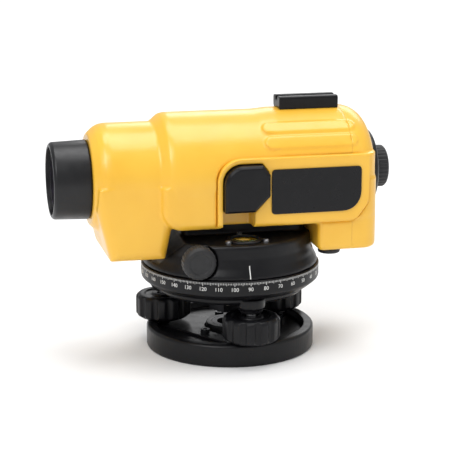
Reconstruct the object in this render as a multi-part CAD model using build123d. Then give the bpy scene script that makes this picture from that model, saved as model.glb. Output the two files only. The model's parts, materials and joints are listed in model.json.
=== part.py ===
"""Automatic level (builder's dumpy level): a telescope head on a levelling base.

Frame, in millimetres: the origin is the centre of the base plate's bottom face, on the vertical
axis. +Z is up, -X is the line of sight (objective end), +X is the eyepiece end, and -Y is the
observer's left-hand side, where the bubble prism is.
"""

from build123d import *
import math
import os

# ---- driving dimensions -------------------------------------------------------------------------
# base plate and its 5/8"-11 tripod thread
BASE_R = 51.0
BASE_H = 13.5
BASE_FLOOR_Z = 9.5
BASE_POCKET_R = 44.0
BASE_BOSS_R = 15.0
THREAD_R = 7.94
THREAD_BUSH_R = 11.0
# levelling screws, 120 degrees apart
FOOT_PITCH_R = 42.0
FOOT_ANGLES = {"a": 154.0, "b": 274.0, "c": 34.0}
BALL_Z = 8.5
BALL_R = 5.0
CUP_R = 7.0
FOOT_GRIP_R = 17.0
FOOT_GRIP_Z = (14.2, 29.0)
FOOT_FLUTES = 12
STUD_R = 3.0
STUD_BORE_R = 4.0
STUD_Z = (18.0, 39.6)
RUN_GAP = 0.05
PLATE_SCREW_R = 22.0
PLATE_SCREW_ANGLE = FOOT_ANGLES["c"] + 60.0
# tribrach and the bearing on the vertical axis
TRIBRACH_R = 46.0
TRIBRACH_Z = (36.0, 43.2)
ARM_Z = (34.0, 39.6)
ARM_END_R = 8.0
ARM_BOSS_R = 6.9
ARM_BOSS_Z = 31.2
COLLAR_R = 41.0
HUB_R = 14.0
HUB_TOP_Z = 67.2
HUB_SHOULDER_Z = 60.3
HUB_BOTTOM_Z = 28.0
SPINDLE_R = 8.0
BUSH_R = 10.0
# horizontal circle
CIRCLE_R = 54.1
CIRCLE_Z = (44.0, 52.9)
CIRCLE_LIP_Z = 40.2
# slow-motion drive: a single-start worm and its wheel
WORM_X = -29.0
WORM_Z = 63.5
WHEEL_TEETH = 60
GEAR_MODULE = 0.8
WORM_PITCH_R = 5.0
WHEEL_WIDTH = 4.0
TOOTH_TIP = 0.65
TOOTH_ROOT = 1.0
WORM_BUSH_Y = 40.4
TANGENT_KNOB_R = 10.0
TANGENT_KNOB_Y = (40.6, 49.6)
# rotating base under the telescope
SKIRT_Z = (53.4, 72.5)
SKIRT_R = (53.0, 48.2)
SKIRT_REAR_X = 45.0
SKIRT_FRONT_X = -34.5
PLATFORM_UNDER_Z = 70.0
SKIRT_WALL = 3.0
FLANGE_R = 24.0
PEDESTAL_Z = 80.0
VIAL_TOP_Z = 73.8
VIAL_X = 1.0
VIAL_Y = -33.0
VIAL_R = 10.5
# telescope
AXIS_Z = 106.3
FRONT_X = -108.5
BARREL_R = 37.9
BARREL_REAR_R = 38.7
BARREL_REAR_X = 22.0
LOBE_R = 32.9
LOBE_HALF_WIDTH = 33.0
LOBE_BOTTOM_Z = 62.4
LOBE_NOSE_Z = 92.0
LOBE_REAR_X = (-45.4, -41.6)
LOBE_ROUND = 6.5
SHOULDER_X = -48.8
BODY_NOSE_R = 13.0
SIDE_Y = 37.4
BODY_BOTTOM_Z = 80.0
REAR_BOX_X = 45.5
REAR_BOX_Z = 63.6
REAR_BOX_Y = 36.2
COVER_X = 66.0
REAR_X = 83.0
REAR_ROUND = 16.0
WALL = 3.5
PANEL_Y = (35.0, 39.1)
PANEL_GAP = 0.6
HOOD_CORNER_R = 11.0
OBJECTIVE_R = 23.5
OBJECTIVE_BORE = 20.0
GUIDE_R = (16.0, 19.0)
# focusing rack and pinion
FOCUS_X = -4.0
PINION_TEETH = 12
RACK_MODULE = 0.5
RACK_Y = (17.0, 21.0)
RACK_PITCH_Z = AXIS_Z - 3.0
FOCUS_KNOB_R = 15.0
# compensator
SWING_X = 31.0
# eyepiece
EYE_TUBE_R = 9.0
EYE_KNOB_R = 12.8
EYE_KNOB_X = (89.0, 96.8)
EYE_FLANGE_R = 23.7
# compensator check button
BUTTON_X = 54.8
BUTTON_Y = -26.0
BUTTON_R = 6.7
BUTTON_BOTTOM_Z = 60.5
# M4 screws that hold the housing on the rotating base, and those of the spindle's flange
HEAD_SCREWS = ((36.0, 10.0), (36.0, -10.0), (-14.0, 24.6), (14.0, 26.0))
SCREW_R = 2.0
SCREW_LENGTH = 13.4
REAR_SCREW_Y = 16.0
REAR_SCREW_Z = 75.0
COUNTERBORE_X = 75.6

RACK_PITCH_R = PINION_TEETH * RACK_MODULE / 2
PINION_Z = RACK_PITCH_Z - RACK_PITCH_R
WHEEL_PITCH_R = WHEEL_TEETH * GEAR_MODULE / 2
FAR = 200.0


# ---- shape helpers ------------------------------------------------------------------------------
def rod(radius, start, end):
    """Round bar between two points."""
    run = Vector(*end) - Vector(*start)
    return extrude(Plane(origin=start, z_dir=run) * Circle(radius), run.length)


def rod_x(radius, x0, x1, y=0.0, z=AXIS_Z):
    return rod(radius, (x0, y, z), (x1, y, z))


def rod_y(radius, y0, y1, x, z):
    return rod(radius, (x, y0, z), (x, y1, z))


def rod_z(radius, z0, z1, x=0.0, y=0.0):
    return rod(radius, (x, y, z0), (x, y, z1))


def block(x0, x1, y0, y1, z0, z1):
    """Box between two corners."""
    middle = ((x0 + x1) / 2, (y0 + y1) / 2, (z0 + z1) / 2)
    return Pos(*middle) * Box(x1 - x0, y1 - y0, z1 - z0)


def turned_z(outline, x=0.0, y=0.0):
    """Solid of revolution about a vertical line, from (radius, height) points."""
    face = make_face(Polyline(*[(r, 0, z) for r, z in outline], close=True))
    return Pos(x, y, 0) * revolve(face, Axis.Z)


def turned_x(outline):
    """Solid of revolution about the telescope's axis, from (x, radius) points."""
    face = make_face(Polyline(*[(x, 0, r) for x, r in outline], close=True))
    return Pos(0, 0, AXIS_Z) * revolve(face, Axis.X)


def slab_y(outline, y0, y1):
    """Straight slab between two y values, from (x, z) points or a finished face in XZ."""
    face = outline
    if isinstance(outline, list):
        face = make_face(Polyline(*[(x, 0, z) for x, z in outline], close=True))
    return Pos(0, y0, 0) * extrude(face, y1 - y0, dir=(0, 1, 0))


def around(count, piece, start=0.0):
    """The same piece repeated round the vertical axis."""
    return [Rot(0, 0, start + i * 360 / count) * piece for i in range(count)]


def group(solids):
    """Separate identical solids that share one node."""
    return Compound(children=[s for item in solids for s in item.solids()])


def foot_place(key):
    """Plan position of one levelling screw."""
    angle = math.radians(FOOT_ANGLES[key])
    return FOOT_PITCH_R * math.cos(angle), FOOT_PITCH_R * math.sin(angle)


def socket_screw(length, shank_r, head_r, head_h):
    """Cap screw pointing up: its shank ends at z = length, its head is below z = 0."""
    body = rod_z(shank_r, 0, length) + rod_z(head_r, -head_h, 0)
    hex_socket = extrude(Pos(0, 0, -head_h) * RegularPolygon(head_r * 0.55, 6), head_h * 0.6)
    return body - hex_socket


def gear_outline(teeth, pitch_r, tip, root, half_tip, half_root):
    """Straight-flanked gear outline; half widths are in millimetres along the circle."""
    points = []
    for i in range(teeth):
        middle = 2 * math.pi * i / teeth
        for radius, half in (
            (pitch_r - root, -half_root),
            (pitch_r + tip, -half_tip),
            (pitch_r + tip, half_tip),
            (pitch_r - root, half_root),
        ):
            angle = middle + half / pitch_r
            points.append((radius * math.cos(angle), radius * math.sin(angle)))
    return make_face(Polyline(*points, close=True))


def fluted(solid, count, flute_r, at_r, z0, z1):
    """Round grip with evenly spaced vertical flutes."""
    return solid - around(count, rod_z(flute_r, z0, z1, x=at_r))


# ---- levelling base -----------------------------------------------------------------------------
def base_plate():
    plate = turned_z(
        [
            (THREAD_BUSH_R, 0),
            (BASE_R - 0.8, 0),
            (BASE_R, 0.8),
            (BASE_R, BASE_H - 1.2),
            (BASE_R - 1.2, BASE_H),
            (BASE_POCKET_R + 1.0, BASE_H),
            (BASE_POCKET_R, BASE_FLOOR_Z),
            (BASE_BOSS_R, BASE_FLOOR_Z),
            (BASE_BOSS_R - 0.5, BASE_H),
            (THREAD_BUSH_R, BASE_H),
        ]
    )
    for key in FOOT_ANGLES:
        x, y = foot_place(key)
        cup_gap = RUN_GAP if key == "c" else 0.0
        plate -= rod_z(CUP_R + 0.6, BASE_FLOOR_Z, BASE_H + 1, x, y)
        plate -= rod_z(CUP_R + cup_gap, BALL_Z, BASE_H, x, y)
        pocket = Pos(x, y, BALL_Z) * Sphere(CUP_R + cup_gap)
        plate -= pocket & rod_z(CUP_R + 1, 2.6 - 6 * cup_gap, BALL_Z + 1, x, y)
    for screw in around(3, rod_z(1.5, 5, BASE_FLOOR_Z, x=PLATE_SCREW_R), PLATE_SCREW_ANGLE):
        plate -= screw
    return plate


def thread_bush():
    return rod_z(THREAD_BUSH_R, 0, BASE_H) - rod_z(THREAD_R, -1, BASE_H + 1)


def spring_plate():
    corner = CUP_R + 0.2
    reach = FOOT_PITCH_R + 2 * corner
    triangle = RegularPolygon(reach, 3, rotation=FOOT_ANGLES["c"])
    triangle = fillet(triangle.vertices(), corner)
    plate = extrude(Pos(0, 0, BASE_FLOOR_Z) * triangle, 1.5)
    plate -= rod_z(BASE_BOSS_R + 0.5, BASE_FLOOR_Z, BASE_H)
    for key in FOOT_ANGLES:
        x, y = foot_place(key)
        plate -= Pos(x, y, BALL_Z) * Sphere(BALL_R + 0.08)
        plate -= rod_z(STUD_R + 1.1, BASE_FLOOR_Z, BASE_H, x, y)
    for hole in around(3, rod_z(1.6, BASE_FLOOR_Z, BASE_H, x=PLATE_SCREW_R), PLATE_SCREW_ANGLE):
        plate -= hole
    return plate


def spring_plate_screws():
    screw = socket_screw(6.0, 1.5, 2.75, 2.2)
    turned_over = Pos(PLATE_SCREW_R, 0, BASE_FLOOR_Z + 1.5) * Rot(180, 0, 0) * screw
    return group(around(3, turned_over, PLATE_SCREW_ANGLE))


def foot_cup(key):
    """Moulded ball seat: a sphere outside, so that it can roll in its pocket."""
    x, y = foot_place(key)
    centre = Pos(x, y, BALL_Z)
    cup = centre * Sphere(CUP_R) & rod_z(CUP_R + 1, 2.7, 9.2, x, y)
    return cup - centre * Sphere(BALL_R + RUN_GAP)


def foot_screw(key):
    """Fluted levelling knob with a ball foot and a threaded bore for the tribrach's stud."""
    x, y = foot_place(key)
    low, high = FOOT_GRIP_Z
    grip = turned_z(
        [
            (0, low),
            (FOOT_GRIP_R - 3.0, low),
            (FOOT_GRIP_R, low + 2.0),
            (FOOT_GRIP_R, high - 1.6),
            (FOOT_GRIP_R - 1.6, high),
            (FOOT_GRIP_R - 5.0, high),
            (FOOT_GRIP_R - 6.0, high - 1.2),
            (7.4, high - 1.2),
            (6.6, high),
            (0, high),
        ]
    )
    grip = fluted(grip, FOOT_FLUTES, 2.3, FOOT_GRIP_R + 0.9, low - 1, high + 1)
    neck = rod_z(3.0, BALL_Z, low)
    ball = Pos(0, 0, BALL_Z) * Sphere(BALL_R)
    return Pos(x, y, 0) * (grip + neck + ball - rod_z(STUD_BORE_R, 16.0, high + 1))


def tribrach():
    low, high = TRIBRACH_Z
    body = turned_z(
        [
            (BUSH_R, HUB_BOTTOM_Z),
            (HUB_R + 2, HUB_BOTTOM_Z),
            (HUB_R + 3, HUB_BOTTOM_Z + 1),
            (HUB_R + 3, low),
            (TRIBRACH_R - 2, low),
            (TRIBRACH_R, low + 2),
            (TRIBRACH_R, high),
            (COLLAR_R, high),
            (COLLAR_R, 49.0),
            (COLLAR_R - 4, 49.0),
            (COLLAR_R - 4, high),
            (HUB_R + 3, high),
            (HUB_R + 3, HUB_SHOULDER_Z),
            (HUB_R, HUB_SHOULDER_Z),
            (HUB_R, 65.6),
            (HUB_R - 1, 65.6),
            (HUB_R - 1, 66.6),
            (HUB_R, 66.6),
            (HUB_R, HUB_TOP_Z),
            (BUSH_R, HUB_TOP_Z),
        ]
    )
    for key, angle in FOOT_ANGLES.items():
        x, y = foot_place(key)
        arm = Rot(0, 0, angle) * block(20, FOOT_PITCH_R, -ARM_END_R, ARM_END_R, *ARM_Z)
        body += arm + rod_z(ARM_END_R, *ARM_Z, x, y)
        body += rod_z(ARM_BOSS_R, ARM_BOSS_Z, ARM_Z[1], x, y)
    for key in FOOT_ANGLES:
        body -= rod_z(STUD_R, 0, STUD_Z[1], *foot_place(key))
    return body


def foot_studs():
    """Threaded studs, fixed in the tribrach's arms, that screw into the levelling knobs."""
    low, high = STUD_Z
    stud = turned_z([(0, low), (STUD_R - 0.6, low), (STUD_R, low + 0.6), (STUD_R, high), (0, high)])
    return group([Pos(*foot_place(key), 0) * stud for key in FOOT_ANGLES])


def centre_bush():
    return rod_z(BUSH_R, HUB_BOTTOM_Z, HUB_TOP_Z) - rod_z(SPINDLE_R + RUN_GAP, 20, FAR)


def clutch_washer():
    """Dished spring washer that presses the worm wheel against its ring."""
    outer = HUB_R + 2.8
    return turned_z(
        [
            (HUB_R, HUB_SHOULDER_Z),
            (outer, HUB_SHOULDER_Z + 0.5),
            (outer, HUB_SHOULDER_Z + 1.1),
            (HUB_R, HUB_SHOULDER_Z + 0.6),
        ]
    )


def wheel_circlip():
    ring = rod_z(HUB_R + 1.6, 65.6, 66.6) - rod_z(HUB_R - 1, 60, 70)
    return ring - block(HUB_R - 3, HUB_R + 4, -2.5, 2.5, 65, 67)


def horizontal_circle():
    low, high = CIRCLE_Z
    return turned_z(
        [
            (COLLAR_R + RUN_GAP, TRIBRACH_Z[1] + 0.1),
            (TRIBRACH_R + 0.6, TRIBRACH_Z[1] + 0.1),
            (TRIBRACH_R + 0.6, CIRCLE_LIP_Z),
            (CIRCLE_R - 5.0, CIRCLE_LIP_Z),
            (CIRCLE_R - 0.6, low),
            (CIRCLE_R, low + 0.4),
            (CIRCLE_R, high - 0.7),
            (CIRCLE_R - 0.7, high),
            (COLLAR_R + RUN_GAP, high),
        ]
    )


# ---- rotating base and slow-motion drive ----------------------------------------------------------
def worm_wheel():
    half = GEAR_MODULE * math.pi / 4
    teeth = gear_outline(
        WHEEL_TEETH, WHEEL_PITCH_R, TOOTH_TIP, TOOTH_ROOT, half * 0.42, half * 1.0
    )
    wheel = extrude(Pos(0, 0, WORM_Z - WHEEL_WIDTH / 2) * teeth, WHEEL_WIDTH)
    return wheel - rod_z(HUB_R + RUN_GAP, 50, 70)


def worm_shaft():
    """Plain shaft with a right-hand single-start worm, in mesh with the wheel at rest."""
    lead = math.pi * GEAR_MODULE
    root_r = WORM_PITCH_R - TOOTH_ROOT
    turns = 5
    half_root = lead / 4 * 0.9
    half_tip = lead / 4 * 0.42
    # the wheel has a tooth on the worm's side at rest, so a thread gap is centred there
    start = (root_r - 0.4, 0, -turns * lead / 2)
    path = Helix(lead, turns * lead, root_r, center=(0, 0, -turns * lead / 2))
    tip_r = WORM_PITCH_R + TOOTH_TIP
    section = make_face(
        Polyline(
            (start[0], 0, start[2] - half_root),
            (tip_r, 0, start[2] - half_tip),
            (tip_r, 0, start[2] + half_tip),
            (start[0], 0, start[2] + half_root),
            close=True,
        )
    )
    thread = sweep(section, path, is_frenet=True)
    core_half = turns * lead / 2 + 1.5
    worm = rod_z(root_r, -core_half, core_half) + thread
    shaft = worm + rod_z(2.5, -TANGENT_KNOB_Y[1] + 2, TANGENT_KNOB_Y[1] - 2)
    # local +Z becomes +Y, and local +X (where the thread starts) turns to face the wheel's gap
    return Pos(WORM_X, 0, WORM_Z) * Rot(-90, 0, 0) * shaft


def worm_bushes():
    bush = rod_y(4.5, 34.5, WORM_BUSH_Y, WORM_X, WORM_Z) - rod_y(2.5 + RUN_GAP, 30, 45, WORM_X, WORM_Z)
    return group([bush, mirror(bush, Plane.XZ)])


def tangent_knob(side):
    """Round ribbed slow-motion knob, pressed on the worm's shaft."""
    near, far = TANGENT_KNOB_Y
    depth = far - near
    knob = turned_z(
        [
            (2.5, 0),
            (TANGENT_KNOB_R - 1.5, 0),
            (TANGENT_KNOB_R, 1.5),
            (TANGENT_KNOB_R, depth - 2.0),
            (TANGENT_KNOB_R - 2.0, depth),
            (0, depth),
            (0, depth - 2.0),
            (2.5, depth - 2.0),
        ]
    )
    knob = fluted(knob, 24, 0.8, TANGENT_KNOB_R + 0.4, -1, depth - 1.6)
    return Pos(WORM_X, side * near, WORM_Z) * Rot(-90 * side, 0, 0) * knob


def skirt_solid(shrink, bottom, top):
    """Cone cut by the sloped front and the flat rear, smaller by shrink all round."""
    wide, narrow = SKIRT_R
    cone = turned_z(
        [
            (0, bottom),
            (wide - shrink, bottom),
            (wide - shrink - 0.4, SKIRT_Z[0] + 2),
            (narrow - shrink + 2.4, SKIRT_Z[0] + 6),
            (narrow - shrink + 1.0, SKIRT_Z[0] + 11),
            (narrow - shrink + 0.6, top - 1.2),
            (narrow - shrink - 0.6, top),
            (0, top),
        ]
    )
    slope = slab_y(
        [
            (SKIRT_FRONT_X + shrink, SKIRT_Z[1]),
            (-48.0 + shrink, 57.0),
            (-FAR, 57.0),
            (-FAR, FAR),
            (SKIRT_FRONT_X + shrink, FAR),
        ],
        -FAR,
        FAR,
    )
    return cone - slope - block(SKIRT_REAR_X - shrink, FAR, -FAR, FAR, 62.0 - shrink, FAR)


def alidade_base():
    base = skirt_solid(0.0, *SKIRT_Z)
    base -= skirt_solid(SKIRT_WALL, SKIRT_Z[0] - 1, PLATFORM_UNDER_Z)
    pedestal = block(-33, 42, -17, 29, SKIRT_Z[1], PEDESTAL_Z)
    base += fillet(pedestal.edges().filter_by(Axis.Z), 4.0)
    recess_r = TANGENT_KNOB_R + 0.8
    for side in (-1, 1):
        wall_y = sorted((side * 37.0, side * WORM_BUSH_Y))
        wall = block(WORM_X - recess_r, WORM_X + recess_r, *wall_y, SKIRT_Z[0], PLATFORM_UNDER_Z)
        base += wall & skirt_solid(0.0, *SKIRT_Z)
        base += rod_y(6.0, side * 34.5, side * WORM_BUSH_Y, WORM_X, WORM_Z)
        base -= rod_y(recess_r, side * WORM_BUSH_Y, side * 60, WORM_X, WORM_Z)
        base -= rod_y(4.5, side * 28, side * 42, WORM_X, WORM_Z)
    for x, y in HEAD_SCREWS:
        base -= rod_z(2.0, PLATFORM_UNDER_Z - 1, PEDESTAL_Z + 1, x, y)
    for screw in around(4, rod_z(2.0, PLATFORM_UNDER_Z - 1, 76, x=20), 45):
        base -= screw
    return base - rod_z(VIAL_R, PLATFORM_UNDER_Z, FAR, VIAL_X, VIAL_Y)


def spindle():
    """Steel spindle of the vertical axis, with the flange that carries the head."""
    low, high = 22.0, PLATFORM_UNDER_Z
    body = turned_z(
        [
            (0, low),
            (SPINDLE_R - 0.8, low),
            (SPINDLE_R, low + 0.8),
            (SPINDLE_R, high - 2),
            (FLANGE_R, high - 2),
            (FLANGE_R, high),
            (0, high),
        ]
    )
    for hole in around(4, rod_z(2.0, high - 3, high + 1, x=20), 45):
        body -= hole
    return body


def spindle_nut():
    nut = extrude(Pos(0, 0, 22.2) * RegularPolygon(13.0, 6), 4.7)
    return nut - rod_z(SPINDLE_R, 20, 30)


def thrust_washer():
    return rod_z(13.0, 26.9, HUB_BOTTOM_Z - 0.05) - rod_z(SPINDLE_R, 20, 30)


def flange_screws():
    screw = Pos(20, 0, PLATFORM_UNDER_Z - 2) * socket_screw(7.5, 2.0, 3.4, 2.0)
    return group(around(4, screw, 45))


# ---- circular bubble ------------------------------------------------------------------------------
def vial_cup():
    floor_z = PLATFORM_UNDER_Z + 0.6
    cup = rod_z(VIAL_R, PLATFORM_UNDER_Z, VIAL_TOP_Z, VIAL_X, VIAL_Y)
    return cup - rod_z(VIAL_R - 2.5, floor_z, FAR, VIAL_X, VIAL_Y)


def vial_glass():
    """Sealed glass vial with a domed top."""
    top = VIAL_TOP_Z + 0.8
    dome_r = 45.0
    glass = rod_z(VIAL_R - 2.5, PLATFORM_UNDER_Z + 0.6, top, VIAL_X, VIAL_Y)
    return glass & Pos(VIAL_X, VIAL_Y, top - dome_r) * Sphere(dome_r)


def vial_screws():
    """Three adjusting screws in the rim round the vial."""
    screw = Pos(VIAL_R + 2.4, 0, SKIRT_Z[1]) * (rod_z(1.8, 0, 1.6) - rod_z(0.8, 0.6, 2))
    return group([Pos(VIAL_X, VIAL_Y, 0) * s for s in around(3, screw, 90)])


# ---- telescope housing ----------------------------------------------------------------------------
def grip_pads():
    """Two soft raised pads along each upper flank of the barrel."""
    middle_x, length, width = 41.8, 56.0, 8.0
    pads = []
    for angle in (36.3, 51.8, 128.2, 143.7):
        pad = extrude(SlotOverall(length, width), BARREL_REAR_R + 2)
        pads.append(Pos(middle_x, 0, AXIS_Z) * Rot(90 - angle, 0, 0) * pad)
    raised = rod_x(BARREL_REAR_R + 0.8, 0, FAR)
    return [pad & raised for pad in pads]


def front_lobe():
    """Round front of the housing, under the barrel's shoulder."""
    return turned_x(
        [
            (-86.4, 0),
            (-86.4, 26.6),
            (-85.6, 27.6),
            (-82.3, 30.6),
            (-79.5, 32.2),
            (-76.0, LOBE_R),
            (-30, LOBE_R),
            (-30, 0),
        ]
    )


def lower_lobe():
    """Square lower part of the front, with its sloped nose and rounded outline."""
    lobe = slab_y(
        [
            (-84.0, AXIS_Z),
            (-85.0, LOBE_NOSE_Z),
            (-77.8, LOBE_BOTTOM_Z),
            (LOBE_REAR_X[0], LOBE_BOTTOM_Z),
            (LOBE_REAR_X[1], BODY_BOTTOM_Z),
            (-30.0, BODY_BOTTOM_Z),
            (-30.0, AXIS_Z),
        ],
        -LOBE_HALF_WIDTH,
        LOBE_HALF_WIDTH,
    )
    outline = lobe.edges().filter_by_position(
        Axis.Z, LOBE_BOTTOM_Z, LOBE_NOSE_Z + 0.5, inclusive=(True, True)
    )
    return fillet(outline.filter_by(Axis.Y, reverse=True), LOBE_ROUND)


def main_barrel():
    """Barrel from the shoulder to the rounded rear."""
    line = Polyline(
        (SHOULDER_X, 0, 0),
        (SHOULDER_X, 0, LOBE_R - 1.0),
        (SHOULDER_X + 1.5, 0, LOBE_R + 0.6),
        (SHOULDER_X + 6.0, 0, BARREL_R - 0.7),
        (SHOULDER_X + 9.0, 0, BARREL_R),
        (BARREL_REAR_X - 8.0, 0, BARREL_R),
        (BARREL_REAR_X + 1.5, 0, BARREL_REAR_R),
        (REAR_X - REAR_ROUND, 0, BARREL_REAR_R),
    )
    half_way = math.sin(math.pi / 4)
    corner = ThreePointArc(
        (REAR_X - REAR_ROUND, 0, BARREL_REAR_R),
        (
            REAR_X - REAR_ROUND * (1 - half_way),
            0,
            BARREL_REAR_R - REAR_ROUND * (1 - half_way),
        ),
        (REAR_X, 0, BARREL_REAR_R - REAR_ROUND),
    )
    back = Polyline((REAR_X, 0, BARREL_REAR_R - REAR_ROUND), (REAR_X, 0, 0), (SHOULDER_X, 0, 0))
    return Pos(0, 0, AXIS_Z) * revolve(make_face([line, corner, back]), Axis.X)


def upright_edges(solid, place):
    """Vertical edges at the front (0) or the rear (-1) of a block."""
    return solid.edges().filter_by(Axis.Z).group_by(Axis.X)[place]


def lower_body():
    """Flat-sided body under the barrel, with a large round at its lower front corner."""
    body = block(SHOULDER_X, REAR_X - 0.2, -SIDE_Y, SIDE_Y, BODY_BOTTOM_Z, AXIS_Z)
    across = body.edges().filter_by(Axis.Y)
    body = fillet(across.sort_by(lambda e: e.center().X + e.center().Z)[0], BODY_NOSE_R)
    body = fillet(upright_edges(body, -1), 11.0)
    nose = body.edges().filter_by(GeomType.CIRCLE).filter_by(lambda e: e.center().X < 0)
    bottom = body.faces().sort_by(Axis.Z)[0].edges()
    bottom = bottom.filter_by(lambda e: e.center().X > 0 or abs(e.center().Y) > 1)
    return fillet(nose + bottom + upright_edges(body, 0), 5.0)


def rear_box():
    """Deep box behind the rotating base, which carries the check button."""
    deep = block(REAR_BOX_X, REAR_X, -REAR_BOX_Y, REAR_BOX_Y, REAR_BOX_Z, 90)
    deep = fillet(upright_edges(deep, -1), 10.0)
    deep = fillet(upright_edges(deep, 0), 3.0)
    return fillet(deep.faces().sort_by(Axis.Z)[0].edges(), 2.8)


def cheeks():
    """Flat sides above the panels, blended into the barrel."""
    flat = block(20, REAR_X - 0.8, -36.6, 36.6, 90, 121.2)
    return fillet(upright_edges(flat, -1), 11.0)


def housing_outside():
    """Outer form of the whole cast housing."""
    clearance = slab_y(
        [
            (LOBE_REAR_X[0], 0),
            (LOBE_REAR_X[0], LOBE_BOTTOM_Z),
            (LOBE_REAR_X[1], BODY_BOTTOM_Z),
            (FAR, BODY_BOTTOM_Z),
            (FAR, 0),
        ],
        -FAR,
        FAR,
    )
    upper = front_lobe() + main_barrel() + lower_body() + cheeks() - clearance
    return upper + lower_lobe() + rear_box() + grip_pads()


def housing_hollow():
    """The space inside the housing, all of it behind the walls."""
    floor_z = BODY_BOTTOM_Z + WALL
    hollow = rod_x(LOBE_R - WALL, -77, -42) - block(-50.5, -40, -FAR, FAR, 0, floor_z)
    hollow += block(-74.5, -50.5, -27.5, 27.5, LOBE_BOTTOM_Z + WALL + 0.5, AXIS_Z)
    hollow += rod_x(BARREL_R - WALL, -42, 68) & block(-42, 68, -FAR, FAR, floor_z, FAR)
    hollow += block(-38, 68, -31, 31, floor_z, AXIS_Z)
    hollow += block(REAR_BOX_X + WALL, 78.5, -31, 31, REAR_BOX_Z + WALL, 90)
    return hollow + (rod_x(26.0, 60, REAR_X - WALL) & block(60, 90, -FAR, FAR, floor_z, FAR))


def panel_face():
    """Outline of the flat pocket in the housing's side."""
    face = make_face(
        Polyline((-16.8, 0, 81), (-16.8, 0, 122.4), (76, 0, 122.4), (76, 0, 93), (67, 0, 81), close=True)
    )
    corners = face.vertices().sort_by(Axis.X)
    face = fillet(corners[1], 15.0)
    lower_rear = [v for v in face.vertices() if v.X > 66 and v.Z < 100]
    face = fillet(lower_rear, 9.0)
    return face


def window_face():
    """Opening for the bubble prism's hood, and the sight line down to the bubble under it."""
    face = make_face(
        Polyline(
            (-13.2, 0, 70),
            (-13.2, 0, 118.8),
            (10.1, 0, 118.8),
            (14.4, 0, 113.1),
            (14.4, 0, 99.6),
            (6.0, 0, 90),
            (6.0, 0, 70),
            close=True,
        )
    )
    corner = [v for v in face.vertices() if v.X < 0 and v.Z > 100]
    return fillet(corner, HOOD_CORNER_R)


def housing_shell():
    """Housing with its side flats, windows and holes, before it is parted from the cover."""
    shell = housing_outside() - housing_hollow()
    shell += block(-15.2, 16.4, -33, -22.5, BODY_BOTTOM_Z, 120.8)
    shell -= slab_y(panel_face(), -FAR, -PANEL_Y[0])
    shell -= slab_y(panel_face(), PANEL_Y[0], FAR)
    shell -= slab_y(window_face(), -FAR, -25.0)
    shell -= rod_x(OBJECTIVE_R - 1.5, -95, -70)
    shell -= rod_x(GUIDE_R[1], -75, -30)
    shell -= rod_y(4.5, 20, 50, FOCUS_X, PINION_Z)
    for y in (-REAR_SCREW_Y, REAR_SCREW_Y):
        shell += rod_x(4.5, REAR_BOX_X + 1, REAR_X - 1, y, REAR_SCREW_Z)
        shell -= rod_x(SCREW_R, 57, 90, y, REAR_SCREW_Z)
        shell -= rod_x(3.6, COUNTERBORE_X, 90, y, REAR_SCREW_Z)
    for x, y in HEAD_SCREWS:
        shell -= rod_z(SCREW_R, 70, 88, x, y)
    shell -= rod_z(2.55, 60, 72, BUTTON_X, BUTTON_Y)
    shell -= rod_z(BUTTON_R + 0.4, 60, REAR_BOX_Z + 2.2, BUTTON_X, BUTTON_Y)
    shell += rod_x(15.0, COVER_X, 80)
    shell -= rod_x(11.0, 50, 90)
    for angle in (45, 135, 225, 315):
        shell -= Pos(0, 0, AXIS_Z) * Rot(angle, 0, 0) * rod_z(1.0, 9, 16, x=69.5)
    return shell


def housing_body(shell):
    return shell & block(-FAR, COVER_X, -FAR, FAR, 0, FAR)


def rear_cover(shell):
    return shell & block(COVER_X, FAR, -FAR, FAR, 0, FAR)


def side_panel(side):
    """Flat side panel: the left one has the bubble prism's window, the right the focus shaft."""
    near, far = PANEL_Y
    rounded_form = block(-40, 90, -far, far, BODY_BOTTOM_Z + 0.6, AXIS_Z + 20)
    lower_edges = rounded_form.edges().filter_by(Axis.X).group_by(Axis.Z)[0]
    rounded_form = fillet(lower_edges, 4.0)
    face = offset(panel_face(), -PANEL_GAP)
    if side < 0:
        return slab_y(face - window_face(), -far, -near) & rounded_form
    panel = slab_y(face, near, far) & rounded_form
    return panel - rod_y(4.5, 20, 50, FOCUS_X, PINION_Z)


def name_plates():
    """Blank rounded plates, one on each side panel."""
    face = make_face(
        Polyline((15.6, 0, 88.5), (15.6, 0, 115), (70, 0, 115), (70, 0, 88.5), close=True)
    )
    by_corner = sorted(face.vertices(), key=lambda v: (v.X > 40, v.Z > 100))
    face = fillet(by_corner[2], 11.0)
    small = [v for v in face.vertices() if v.X < 40 or v.Z > 110]
    face = fillet(small, 2.0)
    plate = slab_y(face, -PANEL_Y[1] - 0.9, -PANEL_Y[1])
    return group([plate, mirror(plate, Plane.XZ)])


def bubble_prism():
    """Right-angle glass prism that turns the view of the bubble towards the observer."""
    return slab_y([(-8.0, 92.6), (5.5, 92.6), (9.5, 97.4), (9.5, 110.1)], -42.0, -28.0)


def prism_cover():
    """Black hood over the bubble prism, rounded at its upper front corner."""
    face = make_face(
        Polyline(
            (-12.8, 0, 91),
            (-12.8, 0, 118.3),
            (9.8, 0, 118.3),
            (14.0, 0, 112.8),
            (14.0, 0, 100),
            (5.0, 0, 91),
            close=True,
        )
    )
    corner = [v for v in face.vertices() if v.X < 0 and v.Z > 100]
    face = fillet(corner, HOOD_CORNER_R)
    hood = slab_y(face, -44.6, -25.0)
    front = hood.faces().sort_by(Axis.Y)[0]
    hood = chamfer(front.edges(), 1.6)
    hood -= bubble_prism()
    hood -= block(-8, 4, -42, -28, 90, 93)
    hood -= block(9.4, 16, -41.5, -38.6, 102.5, 109)
    return hood


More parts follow.
